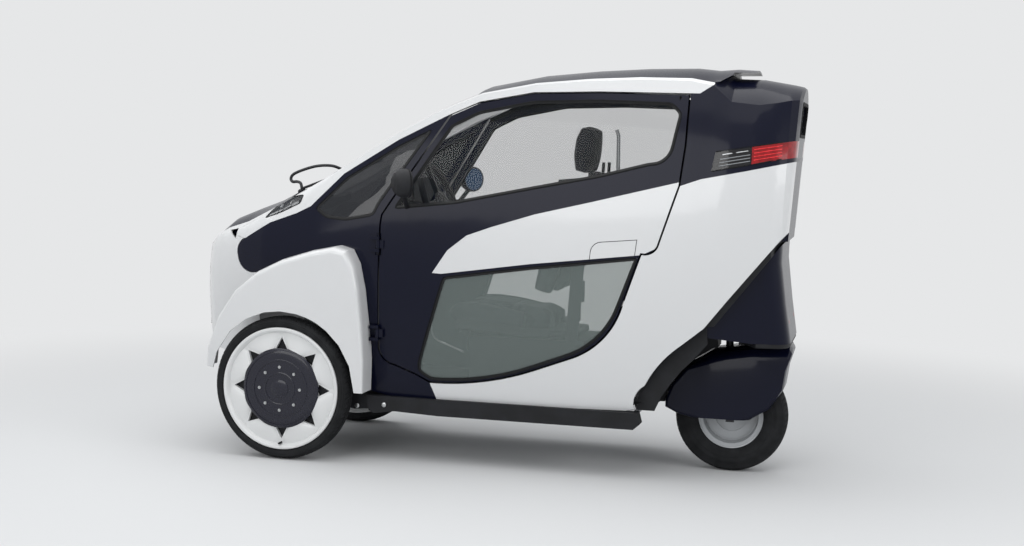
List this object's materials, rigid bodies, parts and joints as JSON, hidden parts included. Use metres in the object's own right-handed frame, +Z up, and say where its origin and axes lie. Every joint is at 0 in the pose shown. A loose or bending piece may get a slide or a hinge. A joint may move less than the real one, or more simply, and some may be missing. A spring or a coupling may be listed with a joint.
{
  "type": "three wheeled car",
  "caption": "Narrow electric three wheeled car with a closed two seat cabin, front hinged doors, big front wheels under arched fenders and one steered rear wheel.",
  "frame": {"origin": "on the ground under the middle of the car's length and width", "axes": "+X forward, +Y to the car's left, +Z up"},
  "size_m": [2.3191, 0.9464, 1.48],
  "materials": {
    "navy_paint": "gloss",
    "pearl_paint": "gloss",
    "wheel_white": "gloss",
    "silver_paint": "satin",
    "glass": "clear",
    "clear_lens": "clear",
    "red_lens": "gloss",
    "black_plastic": "grained",
    "navy_plastic": "gloss",
    "grey_casting": "cast",
    "dark_steel": "coated",
    "tyre_rubber": "matt",
    "seat_cloth": "woven"
  },
  "bodies": {
    "body": {"hood": "navy_paint", "windshield": "glass", "roof_panel": "navy_paint", "white_bands": "pearl_paint", "headlamps": "clear_lens", "front_quarters": "navy_paint", "rear_quarters": "pearl_paint", "side_and_rear_glass": "glass", "tail_upper": "navy_paint", "tail_lamps": "red_lens", "nose": "pearl_paint", "floor_tub": "black_plastic", "lower_sills": "black_plastic", "battery_block": "grey_casting", "tail_lower": "navy_paint", "front_frame": "dark_steel", "lean_unit": "grey_casting", "suspension_arms": "dark_steel", "front_carriers": "grey_casting", "front_fenders": "pearl_paint", "rear_frame": "dark_steel", "front_seat": "seat_cloth", "rear_seat": "seat_cloth", "dashboard": "black_plastic", "pedals": "dark_steel", "wiper": "black_plastic"},
    "door_left": {"door_shell_left": "navy_paint", "door_panel_left": "pearl_paint", "door_glass_left": "glass", "door_mirror_left": "black_plastic"},
    "door_right": {"door_shell_right": "navy_paint", "door_panel_right": "pearl_paint", "door_glass_right": "glass", "door_mirror_right": "black_plastic"},
    "front_wheel_left": {"rim_front_left": "wheel_white", "tyre_front_left": "tyre_rubber", "hub_disc_front_left": "navy_plastic"},
    "front_wheel_right": {"rim_front_right": "wheel_white", "tyre_front_right": "tyre_rubber", "hub_disc_front_right": "navy_plastic"},
    "rear_steering": {"rear_fork": "dark_steel", "rear_wheel_cover": "navy_paint"},
    "rear_wheel": {"rim_rear": "silver_paint", "tyre_rear": "tyre_rubber"},
    "steering": {"steering_wheel": "black_plastic"}
  },
  "joints": [
    {"name": "left_door_hinge", "type": "hinge", "parent": "body", "child": "door_left", "pos_m": [0.362, 0.347, 0.65], "axis": [0, 0, -1], "range_deg": [0, 62]},
    {"name": "right_door_hinge", "type": "hinge", "parent": "body", "child": "door_right", "pos_m": [0.362, -0.347, 0.65], "axis": [0, 0, 1], "range_deg": [0, 62]},
    {"name": "front_left_wheel_spin", "type": "hinge", "parent": "body", "child": "front_wheel_left", "pos_m": [0.715, 0.385, 0.268], "axis": [0, 1, 0], "continuous": true},
    {"name": "front_right_wheel_spin", "type": "hinge", "parent": "body", "child": "front_wheel_right", "pos_m": [0.715, -0.385, 0.268], "axis": [0, 1, 0], "continuous": true},
    {"name": "rear_steer", "type": "hinge", "parent": "body", "child": "rear_steering", "pos_m": [-0.9, 0, 0.5], "axis": [0, 0, 1], "range_deg": [-25, 25]},
    {"name": "rear_wheel_spin", "type": "hinge", "parent": "rear_steering", "child": "rear_wheel", "pos_m": [-0.916, 0, 0.206], "axis": [0, 1, 0], "continuous": true},
    {"name": "steering_wheel_turn", "type": "hinge", "parent": "body", "child": "steering", "pos_m": [0.23, 0, 0.95], "axis": [0.9285, 0, -0.3714], "range_deg": [-300, 300]}
  ],
  "couplings": [
    {"joint": "steering_wheel_turn", "follows": "rear_steer", "ratio": 12}
  ]
}
